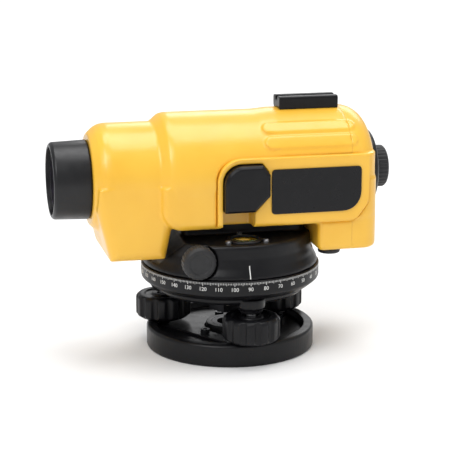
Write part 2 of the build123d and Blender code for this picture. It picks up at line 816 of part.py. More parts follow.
def gun_sight():
    """Open sight on top of the barrel: a low bar with a groove along it."""
    bar = slab_y(
        [(29.4, 140), (28.5, 146), (28.5, 152), (65.0, 152), (65.0, 146), (64.1, 140)], -7.0, 7.0
    )
    bar = fillet(bar.edges().filter_by(Axis.X).group_by(Axis.Z)[-1], 1.4)
    bar -= slab_y([(20, 149.6), (70, 149.6), (70, 160), (20, 160)], -1.9, 1.9)
    return bar - rod_x(BARREL_REAR_R, 0, 90)


# ---- objective and focusing -----------------------------------------------------------------------
def objective_tube():
    """Black objective mount, whose rear end is the guide of the focusing slide."""
    tube = turned_x(
        [
            (FRONT_X, OBJECTIVE_BORE),
            (FRONT_X, OBJECTIVE_R - 2.0),
            (FRONT_X + 1.4, OBJECTIVE_R - 0.7),
            (-87.2, OBJECTIVE_R),
            (-86.4, OBJECTIVE_R - 0.6),
            (-86.4, OBJECTIVE_R - 1.5),
            (-72.0, OBJECTIVE_R - 1.5),
            (-72.0, GUIDE_R[1]),
            (-8.0, GUIDE_R[1]),
            (-8.0, GUIDE_R[0]),
            (-76.0, GUIDE_R[0]),
            (-76.0, OBJECTIVE_BORE - 2.0),
            (-94.0, OBJECTIVE_BORE - 2.0),
            (-94.0, OBJECTIVE_BORE),
        ]
    )
    return tube - block(-37.0, 0, 12, 24, 101.0, 112.0)


def lens(x_front, x_back, radius, front_bulge, back_bulge):
    """Lens on the telescope's axis: flat when a bulge is 0, domed outwards when it is positive."""
    body = rod_x(radius, x_front - front_bulge, x_back + back_bulge)
    for apex, bulge, way in (
        (x_front - front_bulge, front_bulge, 1),
        (x_back + back_bulge, back_bulge, -1),
    ):
        if bulge:
            sphere_r = (radius**2 + bulge**2) / (2 * bulge)
            body &= Pos(apex + way * sphere_r, 0, AXIS_Z) * Sphere(sphere_r)
    return body


def objective_crown():
    return lens(-102.0, -99.6, OBJECTIVE_BORE, 1.8, 1.4)


def objective_flint():
    """Negative element: its hollow front takes the crown's rear dome."""
    disc = rod_x(OBJECTIVE_BORE, -99.6, -95.6)
    return disc - lens(-102.0, -99.6, OBJECTIVE_BORE, 1.8, 1.4)


def objective_retainer():
    """Threaded ring in front of the lenses."""
    return turned_x([(-106.0, 18.2), (-106.0, 20.0), (-102.45, 20.0), (-102.45, 18.2)])


def focus_carriage():
    """Sliding lens mount with the focusing rack along its right side."""
    slide = turned_x([(-40, 13.0), (-40, 15.95), (-18, 15.95), (-18, 13.0)])
    low, high = RACK_Y
    slide += block(-26, -18, 13.5, high, 104.6, 108.0)
    slide += block(-26, 9, low, high, RACK_PITCH_Z + 0.7, 108.0)
    pitch = math.pi * RACK_MODULE
    half = pitch / 4
    for i in range(-7, 7):
        x = FOCUS_X + (i + 0.5) * pitch
        slide += slab_y(
            [
                (x - half * 1.05, RACK_PITCH_Z + 0.75),
                (x + half * 1.05, RACK_PITCH_Z + 0.75),
                (x + half * 0.45, RACK_PITCH_Z - 0.35),
                (x - half * 0.45, RACK_PITCH_Z - 0.35),
            ],
            low,
            high,
        )
    return slide


def focus_lens():
    disc = rod_x(13.0, -31, -26.4)
    for x, way in ((-31.0, -1), (-26.4, 1)):
        disc -= Pos(x + way * 58.6, 0, AXIS_Z) * Sphere(60.0)
    return disc


def focus_pinion():
    """Pinion cut on the end of the focusing shaft, with a tooth pointing up at rest."""
    half = math.pi * RACK_MODULE / 4
    teeth = gear_outline(PINION_TEETH, RACK_PITCH_R, 0.35, 0.65, half * 0.42, half * 0.85)
    low, high = RACK_Y
    pinion = extrude(Pos(0, 0, low) * teeth, high - low)
    shaft = pinion + rod_z(2.0, high, PANEL_Y[1] + 13)
    return Pos(FOCUS_X, 0, PINION_Z) * Rot(-90, 0, 0) * shaft


def focus_bush():
    return rod_y(4.5, 24, PANEL_Y[1] + 0.4, FOCUS_X, PINION_Z) - rod_y(
        2.0 + RUN_GAP, 20, 50, FOCUS_X, PINION_Z
    )


def focus_knob():
    """Large ribbed focusing knob on the right-hand side."""
    depth = 14.0
    knob = turned_z(
        [
            (2.0, 0),
            (FOCUS_KNOB_R - 1.2, 0),
            (FOCUS_KNOB_R, 1.2),
            (FOCUS_KNOB_R - 0.6, depth - 2.2),
            (FOCUS_KNOB_R - 2.8, depth),
            (0, depth),
            (0, depth - 1.8),
            (2.0, depth - 1.8),
        ]
    )
    knob = fluted(knob, 24, 1.0, FOCUS_KNOB_R + 0.5, 1.2, depth - 2.2)
    return Pos(FOCUS_X, PANEL_Y[1] + 0.8, PINION_Z) * Rot(-90, 0, 0) * knob


# ---- compensator ----------------------------------------------------------------------------------
def compensator_frame():
    """Cast bracket with a floor plate, two bored uprights and the wires' clamp bar."""
    floor_z = BODY_BOTTOM_Z + WALL
    frame = block(17, 60, -30.5, 30.5, floor_z, floor_z + 3.0)
    for x in (18.0, 41.0):
        frame += block(x, x + 3, -15, 15, floor_z, 130) - rod_x(10.0, x - 1, x + 4)
    return frame + block(18, 44, -15, 15, 126.5, 130)


def fixed_prisms():
    """Two prisms fixed to the bracket's uprights."""
    front = slab_y([(21.0, 97), (25.0, 97), (25.0, 104), (21.0, 116)], -9, 9)
    return group([front, mirror(front, Plane.YZ.offset(SWING_X))])


def pendulum():
    """Swinging carrier of the middle prism, with its damping foot."""
    body = block(SWING_X - 4.5, SWING_X + 4.5, -9, 9, 90, 113)
    body -= block(SWING_X - 3.5, SWING_X + 3.5, -7, 7, 97, 112)
    body -= rod_x(6.0, SWING_X - 5, SWING_X + 5)
    foot = rod_z(6.5, 87.6, 90, x=SWING_X)
    return body + foot


def pendulum_prism():
    return slab_y(
        [
            (SWING_X - 3.5, 97),
            (SWING_X + 3.5, 97),
            (SWING_X + 3.5, 107),
            (SWING_X, 112),
            (SWING_X - 3.5, 107),
        ],
        -7,
        7,
    )


def suspension_wires():
    """Four wires that hang the pendulum from the clamp bar."""
    return group(
        [rod(0.25, (SWING_X + dx, dy, 113), (SWING_X + dx * 0.6, dy, 126))
         for dx in (-3.0, 3.0) for dy in (-8.0, 8.0)]
    )


# ---- reticle and eyepiece -------------------------------------------------------------------------
def reticle_cell():
    return turned_x([(67.5, 6.5), (67.5, 10.0), (71.5, 10.0), (71.5, 6.5)])


def reticle_disc():
    return rod_x(6.5, 69.0, 70.2)


def reticle_screws():
    """Four radial screws that centre the reticle's cell."""
    screw = rod_z(1.0, 10.0, 15.6, x=69.5)
    turns = (45, 135, 225, 315)
    return group([Pos(0, 0, AXIS_Z) * Rot(a, 0, 0) * screw for a in turns])


def eyepiece_flange():
    return turned_x(
        [
            (76.0, EYE_TUBE_R + RUN_GAP),
            (76.0, 11.0),
            (REAR_X, 11.0),
            (REAR_X, EYE_FLANGE_R),
            (REAR_X + 2.4, EYE_FLANGE_R),
            (REAR_X + 3.8, EYE_FLANGE_R - 1.6),
            (REAR_X + 5.2, 14.0),
            (REAR_X + 5.2, EYE_TUBE_R + RUN_GAP),
        ]
    )


def eyepiece_tube():
    """Sliding lens tube of the eyepiece, with a rounded eye end."""
    return turned_x(
        [
            (77.6, 7.5),
            (77.6, EYE_TUBE_R),
            (95.4, EYE_TUBE_R),
            (96.0, EYE_TUBE_R - 0.6),
            (96.0, 6.0),
            (95.0, 6.0),
            (95.0, 7.5),
        ]
    )


def eyepiece_lenses():
    """Field lens and eye lens."""
    return group([lens(80.4, 82.0, 7.5, 1.2, 0), lens(91.5, 93.6, 7.5, 1.0, 1.0)])


def eyepiece_knob():
    """Knurled ring that focuses the cross-hairs."""
    low, high = EYE_KNOB_X
    ring = turned_z(
        [
            (EYE_TUBE_R + RUN_GAP, low),
            (EYE_KNOB_R - 0.8, low),
            (EYE_KNOB_R, low + 0.8),
            (EYE_KNOB_R, high - 1.2),
            (EYE_KNOB_R - 1.2, high),
            (EYE_TUBE_R + RUN_GAP, high),
        ]
    )
    ring = fluted(ring, 30, 0.6, EYE_KNOB_R + 0.25, low - 1, high + 1)
    return Pos(0, 0, AXIS_Z) * Rot(0, 90, 0) * ring


# ---- compensator check button ---------------------------------------------------------------------
def check_button():
    button = turned_z(
        [
            (0, BUTTON_BOTTOM_Z),
            (BUTTON_R - 1.0, BUTTON_BOTTOM_Z),
            (BUTTON_R, BUTTON_BOTTOM_Z + 1.0),
            (BUTTON_R, BUTTON_BOTTOM_Z + 3.0),
            (2.5, BUTTON_BOTTOM_Z + 3.0),
            (2.5, 76.0),
            (3.8, 76.0),
            (3.8, 78.0),
            (0, 78.0),
        ]
    )
    return Pos(BUTTON_X, BUTTON_Y, 0) * button


def check_spring():
    """Return spring between the button's stem and the bracket's floor plate."""
    wire_r = 0.35
    height = BODY_BOTTOM_Z + WALL - 78.0 - 2 * wire_r
    coil = Helix(height / 4, height, 3.0)
    wire = Plane(origin=coil @ 0, z_dir=coil % 0) * Circle(wire_r)
    return Pos(BUTTON_X, BUTTON_Y, 78.0 + wire_r) * sweep(wire, coil, is_frenet=True)


def housing_screws():
    """M4 screws: four up into the housing's floor, two through the rear cover."""
    screw = socket_screw(SCREW_LENGTH, SCREW_R, 3.4, 2.0)
    screws = [Pos(x, y, PLATFORM_UNDER_Z) * screw for x, y in HEAD_SCREWS]
    for y in (-REAR_SCREW_Y, REAR_SCREW_Y):
        screws.append(Pos(COUNTERBORE_X, y, REAR_SCREW_Z) * Rot(0, -90, 0) * screw)
    return group(screws)


def nodes():
    """Every node of the level, by name."""
    shell = housing_shell()
    return {
        "base_plate": base_plate(),
        "thread_bush": thread_bush(),
        "spring_plate": spring_plate(),
        "spring_plate_screws": spring_plate_screws(),
        "foot_cups": group([foot_cup("a"), foot_cup("b")]),
        "foot_cup_c": foot_cup("c"),
        "foot_screw_a": foot_screw("a"),
        "foot_screw_b": foot_screw("b"),
        "foot_screw_c": foot_screw("c"),
        "tribrach": tribrach(),
        "foot_studs": foot_studs(),
        "centre_bush": centre_bush(),
        "clutch_washer": clutch_washer(),
        "wheel_circlip": wheel_circlip(),
        "horizontal_circle": horizontal_circle(),
        "worm_wheel": worm_wheel(),
        "alidade_base": alidade_base(),
        "spindle": spindle(),
        "spindle_nut": spindle_nut(),
        "thrust_washer": thrust_washer(),
        "flange_screws": flange_screws(),
        "worm_bushes": worm_bushes(),
        "worm_shaft": worm_shaft(),
        "tangent_knob_left": tangent_knob(-1),
        "tangent_knob_right": tangent_knob(1),
        "vial_cup": vial_cup(),
        "vial_glass": vial_glass(),
        "vial_screws": vial_screws(),
        "housing_body": housing_body(shell),
        "rear_cover": rear_cover(shell),
        "side_panel_left": side_panel(-1),
        "side_panel_right": side_panel(1),
        "name_plates": name_plates(),
        "prism_cover": prism_cover(),
        "bubble_prism": bubble_prism(),
        "gun_sight": gun_sight(),
        "objective_tube": objective_tube(),
        "objective_crown": objective_crown(),
        "objective_flint": objective_flint(),
        "objective_retainer": objective_retainer(),
        "focus_carriage": focus_carriage(),
        "focus_lens": focus_lens(),
        "focus_pinion": focus_pinion(),
        "focus_bush": focus_bush(),
        "focus_knob": focus_knob(),
        "compensator_frame": compensator_frame(),
        "fixed_prisms": fixed_prisms(),
        "pendulum": pendulum(),
        "pendulum_prism": pendulum_prism(),
        "suspension_wires": suspension_wires(),
        "reticle_cell": reticle_cell(),
        "reticle_disc": reticle_disc(),
        "reticle_screws": reticle_screws(),
        "eyepiece_flange": eyepiece_flange(),
        "eyepiece_tube": eyepiece_tube(),
        "eyepiece_lenses": eyepiece_lenses(),
        "eyepiece_knob": eyepiece_knob(),
        "check_button": check_button(),
        "check_spring": check_spring(),
        "housing_screws": housing_screws(),
    }


os.makedirs("parts", exist_ok=True)
for name, shape in nodes().items():
    export_step(shape, f"parts/{name}.step")
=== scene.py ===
"""Looks of the automatic level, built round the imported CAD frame. Lengths below are in millimetres
unless a name says otherwise; mm() turns them into the scene's metres."""

import json
import math

import bmesh
import bpy
from mathutils import Matrix, Vector


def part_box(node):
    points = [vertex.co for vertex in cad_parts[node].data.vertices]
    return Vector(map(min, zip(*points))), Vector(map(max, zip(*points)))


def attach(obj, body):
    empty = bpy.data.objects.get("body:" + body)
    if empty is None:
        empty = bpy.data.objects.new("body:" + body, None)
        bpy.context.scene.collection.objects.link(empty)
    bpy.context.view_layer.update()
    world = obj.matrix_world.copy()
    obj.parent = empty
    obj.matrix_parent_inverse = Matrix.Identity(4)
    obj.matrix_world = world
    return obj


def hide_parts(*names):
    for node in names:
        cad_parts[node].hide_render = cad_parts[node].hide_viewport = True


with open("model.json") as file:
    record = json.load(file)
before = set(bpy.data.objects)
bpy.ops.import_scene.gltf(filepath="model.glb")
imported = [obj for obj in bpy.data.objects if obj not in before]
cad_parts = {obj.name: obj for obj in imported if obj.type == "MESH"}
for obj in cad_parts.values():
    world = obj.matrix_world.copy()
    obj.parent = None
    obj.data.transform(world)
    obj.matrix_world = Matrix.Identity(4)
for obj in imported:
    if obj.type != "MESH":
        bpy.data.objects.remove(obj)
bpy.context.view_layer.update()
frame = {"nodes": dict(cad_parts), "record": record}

NODES = frame["nodes"]
MM = 0.001
BODY_OF = {}
for body_name, members in frame["record"]["behaviour"]["bodies"].items():
    for member in members:
        BODY_OF[member] = body_name


def mm(*values):
    """A point given in millimetres, as a vector in metres."""
    return Vector(values) * MM


# ---- the frame's own measures, in millimetres ----------------------------------------------------
def box(node):
    """Lowest and highest corner of a CAD node."""
    low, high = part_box(node)
    return low / MM, high / MM


TUBE_LOW, TUBE_HIGH = box("objective_tube")
AXIS_Z = (TUBE_LOW.z + TUBE_HIGH.z) / 2
FRONT_X = TUBE_LOW.x
CIRCLE_LOW, CIRCLE_HIGH = box("horizontal_circle")
CIRCLE_R = CIRCLE_HIGH.x
CIRCLE_TOP = CIRCLE_HIGH.z
VIAL_LOW, VIAL_HIGH = box("vial_cup")
VIAL_X = (VIAL_LOW.x + VIAL_HIGH.x) / 2
VIAL_Y = (VIAL_LOW.y + VIAL_HIGH.y) / 2
VIAL_R = (VIAL_HIGH.x - VIAL_LOW.x) / 2


# ---- materials -------------------------------------------------------------------------------------
class Tree:
    """One material's node tree, with short calls for the nodes this script needs."""

    def __init__(self, name):
        self.material = bpy.data.materials.new(name)
        self.material.use_nodes = True
        self.tree = self.material.node_tree
        self.tree.nodes.clear()
        self.out = self.node("ShaderNodeOutputMaterial")
        self.place = self.node("ShaderNodeTexCoord").outputs["Object"]

    def node(self, kind, **settings):
        made = self.tree.nodes.new(kind)
        for key, value in settings.items():
            setattr(made, key, value)
        return made

    def link(self, source, target):
        if isinstance(source, bpy.types.NodeSocket):
            self.tree.links.new(source, target)
        else:
            target.default_value = source

    def stretched(self, x, y, z):
        """Object coordinates scaled by a factor on each axis."""
        mapping = self.node("ShaderNodeMapping")
        self.link(self.place, mapping.inputs["Vector"])
        mapping.inputs["Scale"].default_value = (x, y, z)
        return mapping.outputs["Vector"]

    def noise(self, size_mm, detail=4.0, rough=0.55, where=None):
        """Noise whose features are about size_mm across."""
        made = self.node("ShaderNodeTexNoise")
        self.link(where or self.place, made.inputs["Vector"])
        made.inputs["Scale"].default_value = 1.0 / (size_mm * MM)
        made.inputs["Detail"].default_value = detail
        made.inputs["Roughness"].default_value = rough
        return made.outputs["Fac"]

    def cells(self, size_mm):
        """Cell pattern whose cells are about size_mm across."""
        made = self.node("ShaderNodeTexVoronoi")
        self.link(self.place, made.inputs["Vector"])
        made.inputs["Scale"].default_value = 1.0 / (size_mm * MM)
        return made.outputs["Distance"]

    def remap(self, value, low, high, to_low=0.0, to_high=1.0):
        made = self.node("ShaderNodeMapRange")
        self.link(value, made.inputs["Value"])
        for key, number in (
            ("From Min", low),
            ("From Max", high),
            ("To Min", to_low),
            ("To Max", to_high),
        ):
            self.link(number, made.inputs[key])
        return made.outputs["Result"]

    def math(self, operation, a, b):
        made = self.node("ShaderNodeMath", operation=operation)
        self.link(a, made.inputs[0])
        self.link(b, made.inputs[1])
        return made.outputs["Value"]

    def mix(self, share, a, b):
        made = self.node("ShaderNodeMix", data_type="RGBA")
        self.link(share, made.inputs[0])
        self.link((*a, 1.0) if isinstance(a, tuple) else a, made.inputs[6])
        self.link((*b, 1.0) if isinstance(b, tuple) else b, made.inputs[7])
        return made.outputs[2]

    def edges(self, radius_mm):
        """About 1 on outer edges and corners of the mesh, 0 on flats."""
        bevel = self.node("ShaderNodeBevel", samples=4)
        bevel.inputs["Radius"].default_value = radius_mm * MM
        plain = self.node("ShaderNodeNewGeometry").outputs["Normal"]
        dot = self.node("ShaderNodeVectorMath", operation="DOT_PRODUCT")
        self.link(bevel.outputs["Normal"], dot.inputs[0])
        self.link(plain, dot.inputs[1])
        return self.remap(dot.outputs["Value"], 0.99, 0.80)

    def bump(self, height, depth_mm, strength=1.0, under=None):
        made = self.node("ShaderNodeBump")
        self.link(height, made.inputs["Height"])
        made.inputs["Distance"].default_value = depth_mm * MM
        made.inputs["Strength"].default_value = strength
        if under is not None:
            self.link(under, made.inputs["Normal"])
        return made.outputs["Normal"]

    def principled(self, **values):
        made = self.node("ShaderNodeBsdfPrincipled")
        for key, value in values.items():
            socket = made.inputs[key.replace("_", " ")]
            self.link((*value, 1.0) if isinstance(value, tuple) and len(value) == 3 else value, socket)
        self.link(made.outputs["BSDF"], self.out.inputs["Surface"])
        return made


def paint(name, colour, shade):
    """Satin paint on a cast shell: fine orange peel, a slightly uneven tone, and edges painted lighter,
    partly worn paint and partly painted highlight.
    """
    t = Tree(name)
    tone = t.noise(26.0, detail=3.0)
    speck = t.noise(0.9, detail=2.0)
    base = t.mix(t.remap(tone, 0.35, 0.7), colour, shade)
    # edges painted lighter: partly worn paint, partly painted highlight where the rounded edges catch
    # the light
    edge_wear_and_highlight_colour = tuple(min(1.0, c * 1.12 + 0.012) for c in colour)
    base = t.mix(t.math("MULTIPLY", t.edges(0.9), 0.35), base, edge_wear_and_highlight_colour)
    smudge = t.noise(11.0, detail=6.0, rough=0.65)
    roughness = t.remap(smudge, 0.3, 0.75, 0.29, 0.43)
    peel = t.bump(t.noise(1.3, detail=2.0), 0.02, 0.35)
    normal = t.bump(speck, 0.01, 0.25, under=peel)
    t.principled(
        Base_Color=base, Roughness=roughness, Normal=normal, Coat_Weight=0.25, Coat_Roughness=0.18
    )
    return t.material


def moulded(name, colour, rough, grain=0.45, depth=0.035, dust=0.25):
    """Black moulded plastic or enamel: eroded-die grain, edges painted lighter and glossier as rubbing
    wear and painted highlight, a trace of dust.
    """
    t = Tree(name)
    pale = tuple(c * 1.9 + 0.006 for c in colour)
    dusty = t.remap(t.noise(9.0, detail=7.0, rough=0.7), 0.48, 0.85, 0.0, dust)
    base = t.mix(dusty, colour, pale)
    # edges painted lighter: partly rubbing wear, partly painted highlight
    rubbed_and_highlight_edges = t.math("MULTIPLY", t.edges(0.8), t.remap(t.noise(4.0), 0.3, 0.6, 0.25, 0.9))
    base = t.mix(rubbed_and_highlight_edges, base, tuple(c * 2.4 + 0.012 for c in colour))
    roughness = t.remap(t.noise(6.0, detail=5.0), 0.3, 0.7, rough - 0.06, rough + 0.08)
    roughness = t.math("SUBTRACT", roughness, t.math("MULTIPLY", rubbed_and_highlight_edges, 0.12))
    normal = t.bump(t.noise(grain, detail=3.0, rough=0.6), depth, 0.5)
    t.principled(Base_Color=base, Roughness=roughness, Normal=normal, Specular_IOR_Level=0.24)
    return t.material


def soft_rubber(name, colour):
    """Grip rubber: matt, with a faint sheen and a fine stipple."""
    t = Tree(name)
    dusty = t.remap(t.noise(5.0, detail=6.0), 0.4, 0.8, 0.0, 0.7)
    base = t.mix(dusty, colour, tuple(c * 1.7 for c in colour))
    # edges painted lighter: partly rubbing wear, partly painted highlight
    base = t.mix(t.math("MULTIPLY", t.edges(0.7), 0.5), base, tuple(c * 2.6 + 0.01 for c in colour))
    roughness = t.remap(t.noise(3.0), 0.3, 0.7, 0.50, 0.64)
    normal = t.bump(t.cells(0.5), 0.03, 0.35)
    t.principled(
        Base_Color=base, Roughness=roughness, Normal=normal, Sheen_Weight=0.08, Sheen_Roughness=0.5
    )
    return t.material


def anodised(name, colour):
    """Turned and dyed aluminium: fine tool rings about the telescope's axis."""
    t = Tree(name)
    rings = t.noise(1.0, detail=3.0, where=t.stretched(6.0, 0.2, 0.2))
    base = t.mix(t.remap(rings, 0.3, 0.8, 0.0, 0.5), colour, tuple(c * 1.6 + 0.004 for c in colour))
    # edges painted pale grey: partly worn anodising, partly painted highlight on the rims
    base = t.mix(t.math("MULTIPLY", t.edges(0.5), 0.6), base, (0.16, 0.16, 0.165))
    roughness = t.remap(t.noise(7.0, detail=5.0), 0.3, 0.7, 0.31, 0.44)
    t.principled(
        Base_Color=base, Metallic=0.25, Roughness=roughness, Normal=t.bump(rings, 0.008, 0.3)
    )
    return t.material


def metal(name, colour, rough):
    """Bare turned metal with fine rings and stains."""
    t = Tree(name)
    rings = t.noise(0.5, detail=4.0, where=t.stretched(1.0, 1.0, 8.0))
    stain = t.noise(5.0, detail=6.0, rough=0.65)
    base = t.mix(t.remap(stain, 0.45, 0.85, 0.0, 0.45), colour, tuple(c * 0.62 for c in colour))
    roughness = t.remap(rings, 0.3, 0.7, rough - 0.08, rough + 0.12)
    t.principled(
        Base_Color=base, Metallic=1.0, Roughness=roughness, Normal=t.bump(rings, 0.01, 0.5)
    )
    return t.material


def marking(name, colour):
    """Screen-printed or engraved-and-filled marks."""
    t = Tree(name)
    worn = t.remap(t.noise(0.8, detail=5.0), 0.35, 0.7, 0.0, 0.35)
    base = t.mix(worn, colour, tuple(c * 0.72 for c in colour))
    t.principled(Base_Color=base, Roughness=t.remap(t.noise(1.5), 0.3, 0.7, 0.42, 0.6))
    return t.material


def coated_glass(name, tint, reflection):
    """Optical glass with a coloured anti-reflection coating and faint dust."""
    t = Tree(name)
    glass = t.node("ShaderNodeBsdfGlass")
    glass.inputs["IOR"].default_value = 1.5
    t.link((*tint, 1.0), glass.inputs["Color"])
    t.link(t.remap(t.noise(4.0, detail=6.0), 0.5, 0.9, 0.0, 0.03), glass.inputs["Roughness"])
    shine = t.node("ShaderNodeBsdfGlossy")
    t.link((*reflection, 1.0), shine.inputs["Color"])
    shine.inputs["Roughness"].default_value = 0.05
    weight = t.node("ShaderNodeLayerWeight")
    weight.inputs["Blend"].default_value = 0.35
    share = t.remap(weight.outputs["Facing"], 0.0, 1.0, 0.10, 0.55)
    mixed = t.node("ShaderNodeMixShader")
    t.link(share, mixed.inputs[0])
    t.link(glass.outputs["BSDF"], mixed.inputs[1])
    t.link(shine.outputs["BSDF"], mixed.inputs[2])
    t.link(mixed.outputs["Shader"], t.out.inputs["Surface"])
    return t.material


def nylon(name, colour):
    """Slightly translucent moulded nylon."""
    t = Tree(name)
    base = t.mix(t.remap(t.noise(3.0, detail=5.0), 0.35, 0.75), colour, tuple(c * 0.85 for c in colour))
    t.principled(
        Base_Color=base,
        Roughness=t.remap(t.noise(1.0), 0.3, 0.7, 0.38, 0.52),
        Normal=t.bump(t.noise(0.4), 0.02, 0.3),
        Subsurface_Weight=0.1,
        Subsurface_Scale=0.001,
    )
    return t.material


YELLOW = (0.88, 0.50, 0.044)
YELLOW_SHADE = (0.85, 0.465, 0.036)
BLACK = (0.0045, 0.0045, 0.0055)
MATERIALS = {
    "body_yellow": paint("yellow_paint", YELLOW, YELLOW_SHADE),
    "cast_black": moulded("black_enamel", BLACK, rough=0.33, grain=0.8, depth=0.03),
    "plastic_black": moulded("black_plastic", BLACK, rough=0.36),
    "grip_black": soft_rubber("black_grip", (0.0075, 0.0075, 0.0085)),
    "black_anodised": anodised("black_anodised", (0.0065, 0.0065, 0.0075)),
    "brass": metal("turned_brass", (0.66, 0.44, 0.15), 0.30),
    "steel": metal("turned_steel", (0.56, 0.56, 0.57), 0.27),
    "dark_steel": metal("blackened_steel", (0.055, 0.055, 0.06), 0.38),
    "aluminium": metal("machined_aluminium", (0.68, 0.68, 0.69), 0.33),
    "nylon": nylon("ball_seat_nylon", (0.74, 0.70, 0.60)),
    "glass": coated_glass("lens_glass", (0.96, 0.98, 0.98), (0.30, 0.16, 0.55)),
    "vial_fluid": coated_glass("vial_glass", (0.97, 0.99, 0.93), (0.9, 0.95, 0.92)),
}
WHITE_MARK = marking("white_mark", (0.74, 0.74, 0.72))
PLATE_BLACK = moulded(
    "plate_black", (0.006, 0.006, 0.007), rough=0.30, grain=0.25, depth=0.012, dust=0.15
)


def vial_liquid():
    """Yellow-green spirit over a white dial, seen through the vial's glass."""
    t = Tree("vial_spirit")
    cloud = t.remap(t.noise(3.0, detail=2.0), 0.3, 0.7, 0.0, 1.0)
    base = t.mix(cloud, (0.62, 0.72, 0.20), (0.52, 0.64, 0.13))
    t.principled(Base_Color=base, Roughness=0.12, Coat_Weight=1.0, Coat_Roughness=0.03)
    return t.material


def bubble_skin():
    """The bubble: a pale colour, partly the white dial seen through the air and partly painted
    highlight of the meniscus, with a trace of the spirit's colour.
    """
    t = Tree("vial_bubble")
    # pale base colour: partly the dial under the air, partly painted highlight of the meniscus
    base = t.mix(t.remap(t.noise(2.5, detail=2.0), 0.3, 0.7), (0.86, 0.91, 0.66), (0.96, 0.97, 0.86))
    t.principled(Base_Color=base, Roughness=0.06, Coat_Weight=1.0, Coat_Roughness=0.02)
    return t.material


for subpart in frame["record"]["subparts"]:
    cad = NODES[subpart["node"]]
    cad.data.materials.clear()
    cad.data.materials.append(MATERIALS[subpart["material_slot"]])
SLOT_OF = {s["node"]: s["material_slot"] for s in frame["record"]["subparts"]}


SKIN_GAP = 0.02  # turned pieces stay this far inside the CAD part that they stand for
SEAM_GAP = 0.03  # half the visible joint between the housing and its rear cover


# ---- mesh building ----------------------------------------------------------------------------------
def piece(name, bm, body, slot=None, material=None, replaces=(), flat=False):
    """Turns a bmesh, in millimetres in the row frame, into a piece that rides on a body."""
    bmesh.ops.scale(bm, vec=(MM, MM, MM), verts=bm.verts)
    bmesh.ops.recalc_face_normals(bm, faces=bm.faces)
    mesh = bpy.data.meshes.new(name)
    bm.to_mesh(mesh)
    bm.free()
    return finished(name, mesh, body, slot, material, replaces, flat)


def finished(name, mesh, body, slot=None, material=None, replaces=(), flat=False):
    mesh.polygons.foreach_set("use_smooth", [not flat] * len(mesh.polygons))
    made = bpy.data.objects.new(name, mesh)
    bpy.context.scene.collection.objects.link(made)
    mesh.materials.clear()
    mesh.materials.append(material or MATERIALS[slot])
    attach(made, body)
    if replaces:
        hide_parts(*replaces)
    return made


def rounded(points, radius=0.5, steps=4):
    """An outline whose corners are arcs. A point may carry its own corner radius."""
    count = len(points)
    made = []
    for i, point in enumerate(points):
        here = Vector(point[:2])
        r = point[2] if len(point) > 2 else radius
        before = Vector(points[i - 1][:2]) - here
        after = Vector(points[(i + 1) % count][:2]) - here
        on_axis = abs(here.x) < 1e-6
        cut = min(r, before.length * 0.45, after.length * 0.45)
        if on_axis or cut < 1e-4:
            made.append((here.x, here.y))
            continue
        start = here + before.normalized() * cut
        end = here + after.normalized() * cut
        for k in range(steps + 1):
            u = k / steps
            p = start * (1 - u) ** 2 + here * 2 * u * (1 - u) + end * u**2
            made.append((p.x, p.y))
    return made


def soft_min(a, b, blend):
    """The lesser of two radii, with a round change from one to the other."""
    share = max(blend - abs(a - b), 0.0) / blend
    return min(a, b) - share * share * blend / 4


class Flutes:
    """Round flutes cut along a grip, with softened edges."""

    def __init__(self, count, radius, centre, blend=0.6, phase=0.0, low=None, high=None):
        self.count, self.radius, self.centre = count, radius, centre
        self.blend, self.phase, self.low, self.high = blend, phase, low, high

    def cut(self, r, z, angle):
        if (self.low is not None and z < self.low) or (self.high is not None and z > self.high):
            return r
        step = 2 * math.pi / self.count
        off = (angle - self.phase + step / 2) % step - step / 2
        inside = self.radius**2 - (self.centre * math.sin(off)) ** 2
        if inside <= 0:
            wall = self.centre * math.cos(off) + self.radius * 0.6
        else:
            wall = self.centre * math.cos(off) - math.sqrt(inside)
        return soft_min(r, wall, self.blend)


def turned(outline, place=Matrix.Identity(4), segments=128, flutes=None):
    """Solid of revolution about local Z from (radius, z) points in millimetres. Points with no
    radius close the ends; otherwise the outline is a closed ring section."""
    bm = bmesh.new()
    rings = []
    for r, z in outline:
        if r < 1e-6:
            rings.append([bm.verts.new(place @ Vector((0, 0, z)))])
            continue
        ring = []
        for j in range(segments):
            angle = 2 * math.pi * j / segments
            radius = flutes.cut(r, z, angle) if flutes else r
            spot = Vector((radius * math.cos(angle), radius * math.sin(angle), z))
            ring.append(bm.verts.new(place @ spot))
        rings.append(ring)
    pairs = list(zip(rings, rings[1:]))
    if len(rings[0]) > 1 and len(rings[-1]) > 1:
        pairs.append((rings[-1], rings[0]))
    for a, b in pairs:
        if len(a) == 1 and len(b) == 1:
            continue
        for j in range(segments):
            k = (j + 1) % segments
            if len(a) == 1:
                bm.faces.new((a[0], b[k], b[j]))
            elif len(b) == 1:
                bm.faces.new((a[j], a[k], b[0]))
            else:
                bm.faces.new((a[j], a[k], b[k], b[j]))
    return bm


def along_x(x=0.0, y=0.0, z=AXIS_Z):
    """Local Z becomes +X."""
    return Matrix.Translation((x, y, z)) @ Matrix.Rotation(math.pi / 2, 4, "Y")


def along_y(x, y, z, side=1):
    """Local Z becomes +Y, or -Y when side is -1."""
    return Matrix.Translation((x, y, z)) @ Matrix.Rotation(-side * math.pi / 2, 4, "X")


def upright(x, y, z=0.0):
    return Matrix.Translation((x, y, z))


